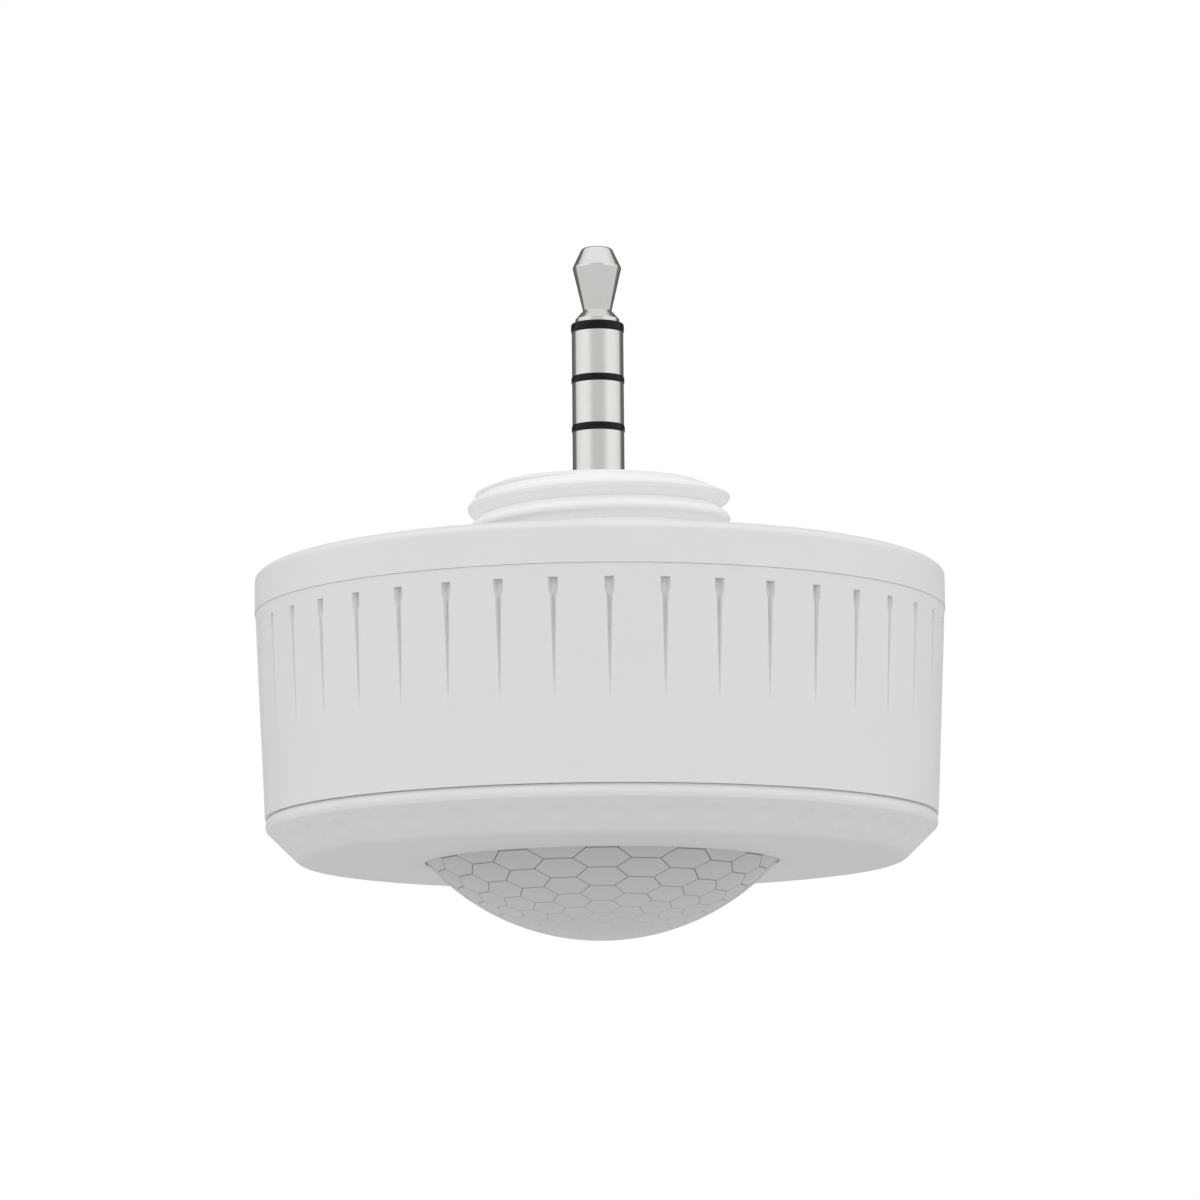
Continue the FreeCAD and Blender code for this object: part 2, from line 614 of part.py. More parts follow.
def front_bezel():
    """The screw-on bezel with its finger dimples and outer thread lugs."""
    body = turned(bezel_profile())
    for a in GROOVE_ANGLES:
        body = body.cut(dimple(a))
    return body.multiFuse(lugs(SKIRT_RADIUS - LUG_BITE, SKIRT_RADIUS + LUG_REACH, MALE_LUG_Z))


def bezel_seal():
    z = SEAM_LOWER + BEZEL_SEAL_CORD / 2 + SEAL_SLACK
    return seal(SKIRT_RADIUS + BEZEL_SEAL_CORD / 2 + SEAL_SLACK, BEZEL_SEAL_CORD, z)


def fresnel_lens():
    """The thin spherical dome with the flat flange that the retainer clamps."""
    outer = LENS_SPHERE_RADIUS
    inner = outer - LENS_WALL
    flange_top = PLATE_INSIDE + LENS_FLANGE_THICK
    start = at(sphere_radius_at(outer, PLATE_INSIDE), PLATE_INSIDE)
    finish = at(sphere_radius_at(inner, flange_top), flange_top)

    def on_sphere(radius, share, end):
        angle = math.atan2(end.x, LENS_CENTRE - end.z) * share
        return at(radius * math.sin(angle), LENS_CENTRE - radius * math.cos(angle))

    return turned([
        arc(at(0, LENS_CENTRE - outer), on_sphere(outer, 0.5, start), start),
        line(start, at(flange_radius(), PLATE_INSIDE)),
        line(at(flange_radius(), PLATE_INSIDE), at(flange_radius(), flange_top)),
        line(at(flange_radius(), flange_top), finish),
        arc(finish, on_sphere(inner, 0.5, finish), at(0, LENS_CENTRE - inner)),
        line(at(0, LENS_CENTRE - inner), at(0, LENS_CENTRE - outer)),
    ])


def lens_retainer():
    """The ring, pressed into the bezel's collar, that holds the lens's flange down."""
    outer = flange_radius() + COLLAR_CLEARANCE
    low = PLATE_INSIDE + LENS_FLANGE_THICK
    return tube(outer, outer - RETAINER_WIDTH, low, low + RETAINER_HEIGHT)


# ---------------------------------------------------------------- plug
def nest(layer):
    """Outer radius of the nested layers, 0 being the stem of the tip."""
    return STEM_RADIUS + CORE_WALL * layer


def back_end(conductor):
    """Height at which a conductor ends at the back: 0 the sleeve, 3 the stem of the tip."""
    return TERMINAL_TOP_Z - TERMINAL_STEP * conductor


def plug_tip():
    """The tip pole: a waisted head with a rounded end, on the stem that runs back through the plug."""
    end = at(0, PLUG_TIP_Z)
    land_top = at(PLUG_TIP_RADIUS, PLUG_TIP_LAND[1])
    a, m, b = corner(land_top, at(PLUG_END_RADIUS, PLUG_TIP_Z), end, PLUG_END_ROUND)
    points = [
        end,
        at(0, back_end(3)),
        at(STEM_RADIUS, back_end(3)),
        at(STEM_RADIUS, BAND_FRONT[1]),
        at(PLUG_SHOULDER_RADIUS, BAND_FRONT[1]),
        at(PLUG_SHOULDER_RADIUS, PLUG_SHOULDER_Z),
        at(PLUG_WAIST_RADIUS, PLUG_WAIST_Z),
        at(PLUG_TIP_RADIUS, PLUG_TIP_LAND[0]),
        land_top,
        a,
    ]
    edges = [line(p, q) for p, q in zip(points, points[1:])]
    return turned(edges + [arc(a, m, b), line(b, end)])


def plug_insulator(layer, band, back):
    """A black band at full diameter, with the thin sheath that runs back inside the next conductor."""
    return turned_points([
        (nest(layer - 1), back),
        (nest(layer), back),
        (nest(layer), band[0]),
        (PLUG_RADIUS, band[0]),
        (PLUG_RADIUS, band[1]),
        (nest(layer - 1), band[1]),
    ])


def plug_ring(layer, low, high, back):
    """A ring pole at full diameter, with its tube running back to its terminal."""
    return turned_points([
        (nest(layer - 1), back),
        (nest(layer), back),
        (nest(layer), low),
        (PLUG_RADIUS, low),
        (PLUG_RADIUS, high),
        (nest(layer - 1), high),
    ])


def plug_sleeve():
    """The sleeve pole with its shank in the neck's roof, its flange under it and its rear barrel."""
    flange_top = NECK_HEIGHT - NECK_ROOF
    return turned_points([
        (nest(5), back_end(0)),
        (BARREL_RADIUS, back_end(0)),
        (BARREL_RADIUS, flange_top - FLANGE_THICK),
        (FLANGE_RADIUS, flange_top - FLANGE_THICK),
        (FLANGE_RADIUS, flange_top),
        (SHANK_RADIUS, flange_top),
        (SHANK_RADIUS, NECK_HEIGHT),
        (PLUG_RADIUS, NECK_HEIGHT),
        (PLUG_RADIUS, BAND_REAR[0]),
        (nest(5), BAND_REAR[0]),
    ])


def plug_holder():
    """The bush, pushed into the neck from below, that keeps the plug's flange against the roof."""
    top = NECK_HEIGHT - NECK_ROOF - FLANGE_THICK
    return tube(NECK_BORE - HOLDER_CLEARANCE, BARREL_RADIUS + HOLDER_CLEARANCE, top - HOLDER_HEIGHT, top)


def wire(conductor, terminal_radius, degrees):
    """An insulated wire from a terminal's side, out and down through one bend to its pad on the board."""
    height = back_end(conductor) + WIRE_RISE
    start = around(terminal_radius + WIRE_GAP, degrees, height)
    bend = around(WIRE_PAD_CIRCLE, degrees, height)
    end = around(WIRE_PAD_CIRCLE, degrees, BOARD_BACK)
    radius = BEND_SHARE * min((bend - start).Length, (end - bend).Length)
    a, m, b = corner(start, bend, end, radius)
    path = Part.Wire([line(start, a), arc(a, m, b), line(b, end)])
    section = Part.Wire(Part.makeCircle(WIRE_RADIUS, start, bend - start))
    solid = path.makePipeShell([section], True, True)
    ratio = solid.Volume / (math.pi * WIRE_RADIUS ** 2 * path.Length)
    print("wire", conductor, "bend radius", round(radius, 2), "volume share", round(ratio, 4))
    return solid


# ---------------------------------------------------------------- circuit board and what is on it
def drilled(plate, radius, circle, angles):
    """A flat piece with round holes through it, on a circle about the axis."""
    box = plate.BoundBox
    holes = [tube(radius, 0, box.ZMin - OVERRUN, box.ZMax + OVERRUN, around(circle, a)) for a in angles]
    return plate.cut(Part.makeCompound(holes))


def circuit_board():
    board = tube(BOARD_RADIUS, 0, BOARD_FRONT, BOARD_BACK)
    board = drilled(board, PILOT_RADIUS + SCREW_CLEARANCE, BOSS_CIRCLE, BOSS_ANGLES)
    return drilled(board, PYRO_LEAD_RADIUS + LEAD_HOLE_CLEARANCE, PYRO_LEAD_CIRCLE, PYRO_LEAD_ANGLES)


def board_screws():
    """Pan-head self-tapping screws, driven from below through the board into the bosses."""
    screws = []
    for a in BOSS_ANGLES:
        centre = around(BOSS_CIRCLE, a)
        face = BOARD_FRONT - SCREW_HEAD_HEIGHT
        shank = tube(PILOT_RADIUS - SCREW_FIT, 0, BOARD_FRONT, BOARD_FRONT + SCREW_LENGTH, centre)
        head = tube(SCREW_HEAD_RADIUS, 0, face, BOARD_FRONT, centre)
        rim = min(head.Edges, key=lambda e: e.BoundBox.ZMax)
        screw = head.makeFillet(SCREW_HEAD_ROUND, [rim]).fuse(shank)
        size = (SCREW_CROSS_LENGTH, SCREW_CROSS_WIDTH, 2 * SCREW_CROSS_DEPTH)
        for turn in (a, a + 90):
            screw = screw.cut(block(size, FreeCAD.Vector(centre.x, centre.y, face), turn))
        screws.append(screw)
    return screws


def pyro_spacer():
    """The insulating disc between the sensor's base and the board."""
    disc = tube(PYRO_CAN_RADIUS, 0, PYRO_FACE, BOARD_FRONT)
    return drilled(disc, PYRO_LEAD_RADIUS + LEAD_HOLE_CLEARANCE, PYRO_LEAD_CIRCLE, PYRO_LEAD_ANGLES)


def pyro_header():
    """The sensor's base with its three leads."""
    base = tube(PYRO_FLANGE_RADIUS, 0, PYRO_BASE, PYRO_FACE)
    root = PYRO_FACE - PYRO_BASE_THICK / 2
    end = BOARD_BACK + PYRO_LEAD_PROUD
    leads = [tube(PYRO_LEAD_RADIUS, 0, root, end, around(PYRO_LEAD_CIRCLE, a)) for a in PYRO_LEAD_ANGLES]
    return united([base] + leads)


def pyro_can():
    """The sensor's metal cap with its rectangular opening."""
    flange_low = PYRO_BASE - PYRO_CAN_WALL
    top = PYRO_BASE - PYRO_CAN_HEIGHT
    inner = PYRO_CAN_RADIUS - PYRO_CAN_WALL
    inner_edge = PYRO_CAN_EDGE - PYRO_CAN_WALL * (2 - math.sqrt(2))
    can = turned_points([
        (inner, PYRO_BASE),
        (PYRO_FLANGE_RADIUS, PYRO_BASE),
        (PYRO_FLANGE_RADIUS, flange_low),
        (PYRO_CAN_RADIUS, flange_low),
        (PYRO_CAN_RADIUS, top + PYRO_CAN_EDGE),
        (PYRO_CAN_RADIUS - PYRO_CAN_EDGE, top),
        (0, top),
        (0, top + PYRO_CAN_WALL),
        (inner - inner_edge, top + PYRO_CAN_WALL),
        (inner, top + PYRO_CAN_WALL + inner_edge),
    ])
    return can.cut(block((*PYRO_WINDOW, 2 * OVERRUN), FreeCAD.Vector(0, 0, top)))


def pyro_window():
    """The infrared pane behind the can's opening."""
    length, width = (side + 2 * PYRO_WINDOW_LAP for side in PYRO_WINDOW)
    middle = PYRO_BASE - PYRO_CAN_HEIGHT + PYRO_CAN_WALL + PYRO_WINDOW_THICK / 2
    return block((length, width, PYRO_WINDOW_THICK), FreeCAD.Vector(0, 0, middle))


def round_lamp(radius, height, centre):
    """A small clear-domed component with a flange at its foot, pointing down at the lens."""
    straight = height - radius
    half_way = radius * math.sqrt(0.5)
    lamp = turned([
        line(at(0, 0), at(radius + LAMP_FLANGE, 0)),
        line(at(radius + LAMP_FLANGE, 0), at(radius + LAMP_FLANGE, -LAMP_FOOT)),
        line(at(radius + LAMP_FLANGE, -LAMP_FOOT), at(radius, -LAMP_FOOT)),
        line(at(radius, -LAMP_FOOT), at(radius, -straight)),
        arc(at(radius, -straight), at(half_way, -straight - half_way), at(0, -height)),
        line(at(0, -height), at(0, 0)),
    ])
    lamp.translate(FreeCAD.Vector(*centre, BOARD_FRONT))
    return lamp


def standing(size, centre, standoff=0.0, turn=0.0):
    """A block standing on the board's front face, or a little off it."""
    return block(size, FreeCAD.Vector(*centre, BOARD_FRONT - standoff - size[2] / 2), turn)


def chip_body(pins, centre):
    return standing(((pins - 1) * CHIP_PITCH + 2 * CHIP_END, CHIP_WIDTH, CHIP_THICK), centre, CHIP_STANDOFF)


def gull_wing(half, rise, reach, width):
    """One lead on the +Y side of a body at the origin: out, down to the board, and along it."""
    profile = [
        (half, -rise),
        (half + LEAD_OUT, -rise),
        (half + LEAD_OUT, 0),
        (half + reach, 0),
        (half + reach, -LEAD_THICK),
        (half + LEAD_OUT + LEAD_THICK, -LEAD_THICK),
        (half + LEAD_OUT + LEAD_THICK, -rise - LEAD_THICK),
        (half, -rise - LEAD_THICK),
    ]
    corners = [FreeCAD.Vector(-width / 2, y, z) for y, z in profile]
    return Part.Face(Part.makePolygon(corners + corners[:1])).extrude(FreeCAD.Vector(width, 0, 0))


def lead_rows(pins, pitch, centre, lead):
    """Copies of a lead along both long sides of a body."""
    leads = []
    for k in range(pins):
        for turn in (0, 180):
            copy = lead.copy()
            copy.translate(FreeCAD.Vector((k - (pins - 1) / 2) * pitch, 0, 0))
            copy.rotate(ORIGIN, AXIS, turn)
            copy.translate(FreeCAD.Vector(*centre, BOARD_FRONT))
            leads.append(copy)
    return leads


def chip_pins():
    """The leads of the controller and of the amplifier."""
    lead = gull_wing(CHIP_WIDTH / 2, CHIP_STANDOFF + CHIP_THICK / 2, CHIP_LEAD_REACH, CHIP_LEAD_WIDTH)
    controller = lead_rows(CONTROLLER_PINS, CHIP_PITCH, CONTROLLER_CENTRE, lead)
    return controller + lead_rows(AMPLIFIER_PINS, CHIP_PITCH, AMPLIFIER_CENTRE, lead)


def capacitor_can(centre):
    """An aluminium can with a rolled waist above its base."""
    low = BOARD_FRONT - CAPACITOR_BASE
    top = BOARD_FRONT - CAPACITOR_HEIGHT
    waist = low - CAPACITOR_WAIST_DROP
    can = turned_points([
        (0, low),
        (CAPACITOR_RADIUS, low),
        (CAPACITOR_RADIUS, waist + CAPACITOR_WAIST_HALF),
        (CAPACITOR_RADIUS - CAPACITOR_WAIST_DEPTH, waist),
        (CAPACITOR_RADIUS, waist - CAPACITOR_WAIST_HALF),
        (CAPACITOR_RADIUS, top + CAPACITOR_EDGE),
        (CAPACITOR_RADIUS - CAPACITOR_EDGE, top),
        (0, top),
    ])
    can.translate(FreeCAD.Vector(*centre, 0))
    return can


def capacitor_base(centre):
    size = 2 * (CAPACITOR_RADIUS + CAPACITOR_BASE_MARGIN)
    return standing((size, size, CAPACITOR_BASE), centre)


def chip_row(size, start, count):
    """Small chip parts side by side, in a row along Y."""
    x, y = start
    return [standing(size, (x, y + k * ROW_PITCH)) for k in range(count)]


# ---------------------------------------------------------------- settings switch
def slider_x(way):
    return (way - (SWITCH_WAYS - 1) / 2) * SWITCH_PITCH


def dip_switch_body():
    """The switch's body with one slot for each slider."""
    body = standing((SWITCH_LENGTH, SWITCH_WIDTH, SWITCH_HEIGHT), (0, SWITCH_CENTRE_Y))
    depth = SLIDER_SIZE[2] - SLIDER_PROUD + SLIDER_CLEARANCE
    width = SLIDER_SIZE[0] + 2 * SLIDER_CLEARANCE
    length = SLIDER_SIZE[1] + SLIDER_TRAVEL + 2 * SLIDER_CLEARANCE
    for way in range(SWITCH_WAYS):
        slot = block((width, length, 2 * depth), FreeCAD.Vector(slider_x(way), SWITCH_CENTRE_Y, SWITCH_FACE))
        body = body.cut(slot)
    return body


def dip_switch_pins():
    lead = gull_wing(SWITCH_WIDTH / 2, SWITCH_LEAD_RISE, SWITCH_LEAD_REACH, SWITCH_LEAD_WIDTH)
    return lead_rows(SWITCH_WAYS, SWITCH_PITCH, (0, SWITCH_CENTRE_Y), lead)


def dip_slider(way):
    z = SWITCH_FACE - SLIDER_PROUD + SLIDER_SIZE[2] / 2
    return block(SLIDER_SIZE, FreeCAD.Vector(slider_x(way), SLIDER_REST_Y, z))


def main():
    os.makedirs("parts", exist_ok=True)
    save("rear_cover", rear_cover())
    save("neck_seal", neck_seal())
    save("cover_seal", cover_seal())
    save("housing_ring", housing_ring())
    save("front_bezel", front_bezel())
    save("bezel_seal", bezel_seal())
    save("fresnel_lens", fresnel_lens())
    save("lens_retainer", lens_retainer())

    save("plug_tip", plug_tip())
    save("plug_insulator_front", plug_insulator(1, BAND_FRONT, back_end(2) - SHEATH_SHOW))
    save("plug_ring_front", plug_ring(2, BAND_MIDDLE[1], BAND_FRONT[0], back_end(2)))
    save("plug_insulator_middle", plug_insulator(3, BAND_MIDDLE, back_end(1) - SHEATH_SHOW))
    save("plug_ring_rear", plug_ring(4, BAND_REAR[1], BAND_MIDDLE[0], back_end(1)))
    save("plug_insulator_rear", plug_insulator(5, BAND_REAR, back_end(0) - SHEATH_SHOW))
    save("plug_sleeve", plug_sleeve())
    save("plug_holder", plug_holder())
    wire_names = ("wire_sleeve", "wire_ring_rear", "wire_ring_front", "wire_tip")
    terminal_radii = (BARREL_RADIUS, nest(4), nest(2), nest(0))
    for k, name in enumerate(wire_names):
        save(name, wire(k, terminal_radii[k], WIRE_ANGLES[k]))

    save("circuit_board", circuit_board())
    save("board_screws", *board_screws())
    save("pyro_spacer", pyro_spacer())
    save("pyro_header", pyro_header())
    save("pyro_can", pyro_can())
    save("pyro_window", pyro_window())
    save("light_sensor", round_lamp(LIGHT_SENSOR_RADIUS, LIGHT_SENSOR_HEIGHT, LIGHT_SENSOR_CENTRE))
    save("indicator_led", round_lamp(INDICATOR_RADIUS, INDICATOR_HEIGHT, INDICATOR_CENTRE))
    save("microcontroller", chip_body(CONTROLLER_PINS, CONTROLLER_CENTRE))
    save("amplifier_chip", chip_body(AMPLIFIER_PINS, AMPLIFIER_CENTRE))
    save("chip_pins", *chip_pins())
    save("voltage_regulator", standing(REGULATOR_SIZE, REGULATOR_CENTRE, CHIP_STANDOFF, REGULATOR_TURN))
    save("capacitor_cans", *[capacitor_can(c) for c in CAPACITOR_CENTRES])
    save("capacitor_bases", *[capacitor_base(c) for c in CAPACITOR_CENTRES])
    save("chip_resistors", *chip_row(RESISTOR_SIZE, RESISTOR_START, RESISTOR_COUNT))
    ceramic_rows = [chip_row(CERAMIC_SIZE, start, CERAMIC_COUNT) for start in CERAMIC_STARTS]
    save("chip_capacitors", *ceramic_rows[0], *ceramic_rows[1])

    save("dip_switch_body", dip_switch_body())
    save("dip_switch_pins", *dip_switch_pins())
    for way in range(SWITCH_WAYS):
        save("dip_slider_" + str(way + 1), dip_slider(way))


main()
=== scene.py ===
"""Looks for the plug-in motion detector: a white moulded head with a threaded neck, a four-pole plug and a
dome lens of hexagonal cells. Metres, +Z up, the plug pointing up and the lens hanging down."""

import math

import bpy
from mathutils import Matrix, Vector


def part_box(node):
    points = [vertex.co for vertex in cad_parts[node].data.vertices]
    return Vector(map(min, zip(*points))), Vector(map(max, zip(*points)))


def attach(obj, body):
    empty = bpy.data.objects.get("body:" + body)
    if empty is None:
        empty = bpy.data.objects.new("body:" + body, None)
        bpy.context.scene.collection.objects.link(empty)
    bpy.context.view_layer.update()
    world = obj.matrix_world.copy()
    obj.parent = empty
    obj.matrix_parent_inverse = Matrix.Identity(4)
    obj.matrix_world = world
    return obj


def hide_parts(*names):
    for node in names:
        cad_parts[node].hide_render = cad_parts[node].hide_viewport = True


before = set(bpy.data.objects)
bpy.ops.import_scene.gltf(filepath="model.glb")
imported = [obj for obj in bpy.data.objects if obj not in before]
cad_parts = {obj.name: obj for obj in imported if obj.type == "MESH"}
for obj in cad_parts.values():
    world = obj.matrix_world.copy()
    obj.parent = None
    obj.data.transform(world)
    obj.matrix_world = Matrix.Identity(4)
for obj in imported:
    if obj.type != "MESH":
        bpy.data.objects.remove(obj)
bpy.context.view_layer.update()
MM = 0.001
MERGE_REACH = 0.0005 * MM       # points closer than this become one


# ---------------------------------------------------------------- shader sums
class Signal:
    """One output of a material's nodes. Sums written on it become Math nodes."""

    def __init__(self, recipe, socket):
        self.recipe = recipe
        self.socket = socket

    def _sum(self, operation, first, second):
        return self.recipe.add("ShaderNodeMath", {"operation": operation}, {0: first, 1: second})

    def __add__(self, other):
        return self._sum("ADD", self, other)

    def __radd__(self, other):
        return self._sum("ADD", other, self)

    def __sub__(self, other):
        return self._sum("SUBTRACT", self, other)

    def __rsub__(self, other):
        return self._sum("SUBTRACT", other, self)

    def __mul__(self, other):
        return self._sum("MULTIPLY", self, other)

    def __rmul__(self, other):
        return self._sum("MULTIPLY", other, self)

    def __truediv__(self, other):
        return self._sum("DIVIDE", self, other)

    def __gt__(self, other):
        return self._sum("GREATER_THAN", self, other)

    def power(self, other):
        return self._sum("POWER", self, other)


class Recipe:
    """A material's node tree, started empty, with its surface and output."""

    def __init__(self, name):
        self.material = bpy.data.materials.new(name)
        self.material.use_nodes = True
        self.tree = self.material.node_tree
        self.tree.nodes.clear()
        self.finish_node = self.tree.nodes.new("ShaderNodeOutputMaterial")
        self.place = self.add("ShaderNodeTexCoord", {}, {}, "Object")

    def add(self, kind, settings, inputs, output=0):
        """Adds a node, makes its settings, feeds its sockets with values or signals, and gives one output."""
        node = self.tree.nodes.new(kind)
        for name, value in settings.items():
            if name == "stops":
                self.set_stops(node.color_ramp, value)
            else:
                setattr(node, name, value)
        for name, value in inputs.items():
            if isinstance(value, Signal):
                self.tree.links.new(value.socket, node.inputs[name])
            else:
                node.inputs[name].default_value = value
        return Signal(self, node.outputs[output])

    @staticmethod
    def set_stops(ramp, stops):
        while len(ramp.elements) < len(stops):
            ramp.elements.new(0.5)
        for element, (position, shade) in zip(ramp.elements, stops):
            element.position = position
            element.color = (*shade, 1)

    def grain(self, size, detail=3.0, roughness=0.5, stretch=(1, 1, 1)):
        """Noise from 0 to 1 whose lumps are about a size in metres."""
        place = self.add("ShaderNodeMapping", {}, {"Vector": self.place, "Scale": stretch})
        return self.add("ShaderNodeTexNoise", {},
                        {"Vector": place, "Scale": 1 / size, "Detail": detail, "Roughness": roughness}, "Fac")

    def blend(self, share, first, second):
        """A colour between two colours."""
        first = first if isinstance(first, Signal) else (*first, 1)
        second = second if isinstance(second, Signal) else (*second, 1)
        return self.add("ShaderNodeMix", {"data_type": "RGBA"}, {0: share, 6: first, 7: second}, 2)

    def ramp(self, amount, stops):
        """A colour that follows an amount from 0 to 1 through its stops."""
        return self.add("ShaderNodeValToRGB", {"stops": stops}, {"Fac": amount}, "Color")

    def axes(self):
        """X, Y and Z of the object's own place."""
        self.add("ShaderNodeSeparateXYZ", {}, {"Vector": self.place})
        return [Signal(self, socket) for socket in self.tree.nodes[-1].outputs]

    def bump(self, height, depth):
        return self.add("ShaderNodeBump", {}, {"Height": height, "Distance": depth, "Strength": 1.0}, "Normal")

    def surface(self, **sockets):
        """Makes the surface and joins it to the output."""
        named = {name.replace("_", " "): value for name, value in sockets.items()}
        shader = self.add("ShaderNodeBsdfPrincipled", {}, named)
        self.tree.links.new(shader.socket, self.finish_node.inputs["Surface"])
        return self.material


# ---------------------------------------------------------------- finishes
NECK_FOOT = 0.2 * MM            # the neck's plastic starts this far above the seat


def moulded_plastic(name, shade, roughness=0.42, spark_depth=0.004 * MM, unevenness=0.03, neck_painted_light=None):
    """Matt moulded plastic: a fine sparked grain, and a very slight unevenness of shade and of gloss. Given a
    neck shade, the neck above the seat is painted paler: painted light that lifts the shade on its threads.
    """
    r = Recipe(name)
    spark = r.grain(0.08 * MM, detail=2.0)
    cloud = r.grain(6 * MM, detail=3.0)
    darker = tuple(c * (1 - unevenness) for c in shade)
    colour = r.blend(cloud, darker, shade)
    # painted light: above the seat the neck is painted paler, lifting the shade on its thread flanks
    if neck_painted_light:
        x, y, z = r.axes()
        colour = r.blend(z > NECK_FOOT, colour, neck_painted_light)
    return r.surface(
        Base_Color=colour,
        Roughness=roughness + 0.08 * cloud + 0.05 * spark,
        IOR=1.46,
        Normal=r.bump(spark, spark_depth),
    )


def nickel_plate(name):
    """Polished nickel with fine turning marks around the axis."""
    r = Recipe(name)
    turning = r.grain(0.5 * MM, detail=4.0, roughness=0.6, stretch=(0.25, 0.25, 14))
    cloud = r.grain(1.6 * MM, detail=2.0)
    return r.surface(
        Base_Color=r.blend(cloud, (0.80, 0.785, 0.76), (0.86, 0.85, 0.83)),
        Metallic=1.0,
        Roughness=0.08 + 0.08 * turning,
        Normal=r.bump(turning, 0.002 * MM),
    )


def glossy_black(name):
    """Deep black moulded insulation with a soft gloss."""
    r = Recipe(name)
    cloud = r.grain(0.8 * MM, detail=3.0)
    return r.surface(
        Base_Color=r.blend(cloud, (0.002, 0.002, 0.002), (0.005, 0.005, 0.005)),
        Roughness=0.09 + 0.08 * cloud,
        IOR=1.32,
        Normal=r.bump(cloud, 0.002 * MM),
    )


OPENING_RADIUS = 12 * MM
COLD_TINT = 1.008               # blue of the lens's greys against their red and green


def greys(*stops):
    """Stops of a ramp from (place, brightness), faintly cold."""
    return [(place, (shade, shade, COLD_TINT * shade)) for place, shade in stops]


# painted shade of the lens from its pole (0) out to the opening (1): the cells, and darker still the valleys
# between them
CELL_PAINTED_SHADE = greys((0.0, 0.71), (1.0, 0.59))
# the valleys: painted shade, darker than the cells and strongest near the rim
VALLEY_PAINTED_SHADE = greys((0.0, 0.66), (0.30, 0.63), (0.62, 0.52), (0.92, 0.39), (1.0, 0.38))


def milky_lens(name, shades):
    """Milky moulding of the lens, with painted shade that greys it out towards its rim."""
    r = Recipe(name)
    x, y, z = r.axes()
    out = (x * x + y * y).power(0.5) / OPENING_RADIUS
    cloud = r.grain(2.5 * MM, detail=2.0)
    spark = r.grain(0.12 * MM, detail=1.0)
    return r.surface(
        Base_Color=r.ramp(out, shades),
        Roughness=0.30 + 0.10 * cloud,
        IOR=1.5,
        Normal=r.bump(spark, 0.002 * MM),
    )


def seal_rubber(name):
    """Dark grey rubber with a faint bloom."""
    r = Recipe(name)
    bloom = r.grain(1.2 * MM, detail=5.0)
    return r.surface(
        Base_Color=r.blend(bloom, (0.035, 0.035, 0.036), (0.075, 0.075, 0.078)),
        Roughness=0.62 + 0.16 * bloom,
        Normal=r.bump(bloom, 0.006 * MM),
    )


def wire_sheath(name, shade):
    """Soft satin insulation, drawn along the wire."""
    r = Recipe(name)
    drawn = r.grain(0.6 * MM, detail=3.0, stretch=(1, 1, 0.15))
    return r.surface(
        Base_Color=r.blend(drawn, tuple(0.82 * c for c in shade), shade),
        Roughness=0.38 + 0.12 * drawn,
        Normal=r.bump(drawn, 0.003 * MM),
    )


def plated_steel(name, shade=(0.62, 0.62, 0.60)):
    """Bright plated metal with small stains and rubbed marks."""
    r = Recipe(name)
    stain = r.grain(0.9 * MM, detail=5.0)
    rubbed = r.grain(0.25 * MM, detail=3.0, stretch=(1, 1, 6))
    return r.surface(
        Base_Color=r.blend(stain, tuple(0.8 * c for c in shade), shade),
        Metallic=1.0,
        Roughness=0.22 + 0.16 * stain + 0.06 * rubbed,
        Normal=r.bump(rubbed, 0.002 * MM),
    )


TRACK_REPEAT = 9 * MM


def board_resist(name):
    """Green solder resist over copper tracks that run in steps along X and Y."""
    r = Recipe(name)
    pattern = {"Vector": r.place, "Scale": 1 / TRACK_REPEAT, "Mortar Size": 0.035, "Brick Width": 0.6,
               "Row Height": 0.14}
    tracks = r.add("ShaderNodeTexBrick", {"offset": 0.5, "squash": 1.0}, pattern, "Fac")
    cloud = r.grain(3 * MM, detail=3.0)
    over_base = r.blend(cloud, (0.010, 0.085, 0.030), (0.014, 0.110, 0.040))
    return r.surface(
        Base_Color=r.blend(tracks, over_base, (0.030, 0.190, 0.060)),
        Roughness=0.30 + 0.12 * cloud,
        Coat_Weight=0.3,
        Normal=r.bump(tracks, 0.03 * MM),
    )


def chip_epoxy(name):
    """Matt black moulding compound."""
    r = Recipe(name)
    grain = r.grain(0.10 * MM, detail=4.0)
    return r.surface(
        Base_Color=r.blend(grain, (0.012, 0.012, 0.013), (0.030, 0.030, 0.032)),
        Roughness=0.55 + 0.15 * grain,
        Normal=r.bump(grain, 0.010 * MM),
    )


def tinned_ends(name, node, body_shade, end_length):
    """A small chip part lying along X: a fired body between two tinned ends."""
    low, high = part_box(node)
    r = Recipe(name)
    x, y, z = r.axes()
    inside = (x - low[0] - end_length) * (high[0] - end_length - x) > 0.0
    cloud = r.grain(0.3 * MM, detail=3.0)
    body = r.blend(cloud, tuple(0.75 * c for c in body_shade), body_shade)
    return r.surface(
        Base_Color=r.blend(inside, (0.62, 0.61, 0.59), body),
        Metallic=1.0 - inside,
        Roughness=0.34 + 0.18 * cloud,
        Normal=r.bump(cloud, 0.006 * MM),
    )


def brushed_can(name):
    """Satin aluminium can with drawing marks along its height."""
    r = Recipe(name)
    drawn = r.grain(0.22 * MM, detail=4.0, stretch=(1, 1, 0.08))
    return r.surface(
        Base_Color=r.blend(drawn, (0.62, 0.62, 0.63), (0.78, 0.78, 0.79)),
        Metallic=1.0,
        Roughness=0.26 + 0.16 * drawn,
        Normal=r.bump(drawn, 0.003 * MM),
    )


def clear_epoxy(name, shade, clearness):
    """Cast epoxy, clear or tinted, with a faint cloud in it."""
    r = Recipe(name)
    cloud = r.grain(0.7 * MM, detail=2.0)
    return r.surface(
        Base_Color=r.blend(cloud, tuple(0.85 * c for c in shade), shade),
        Roughness=0.06 + 0.06 * cloud,
        IOR=1.5,
        Transmission_Weight=clearness,
    )


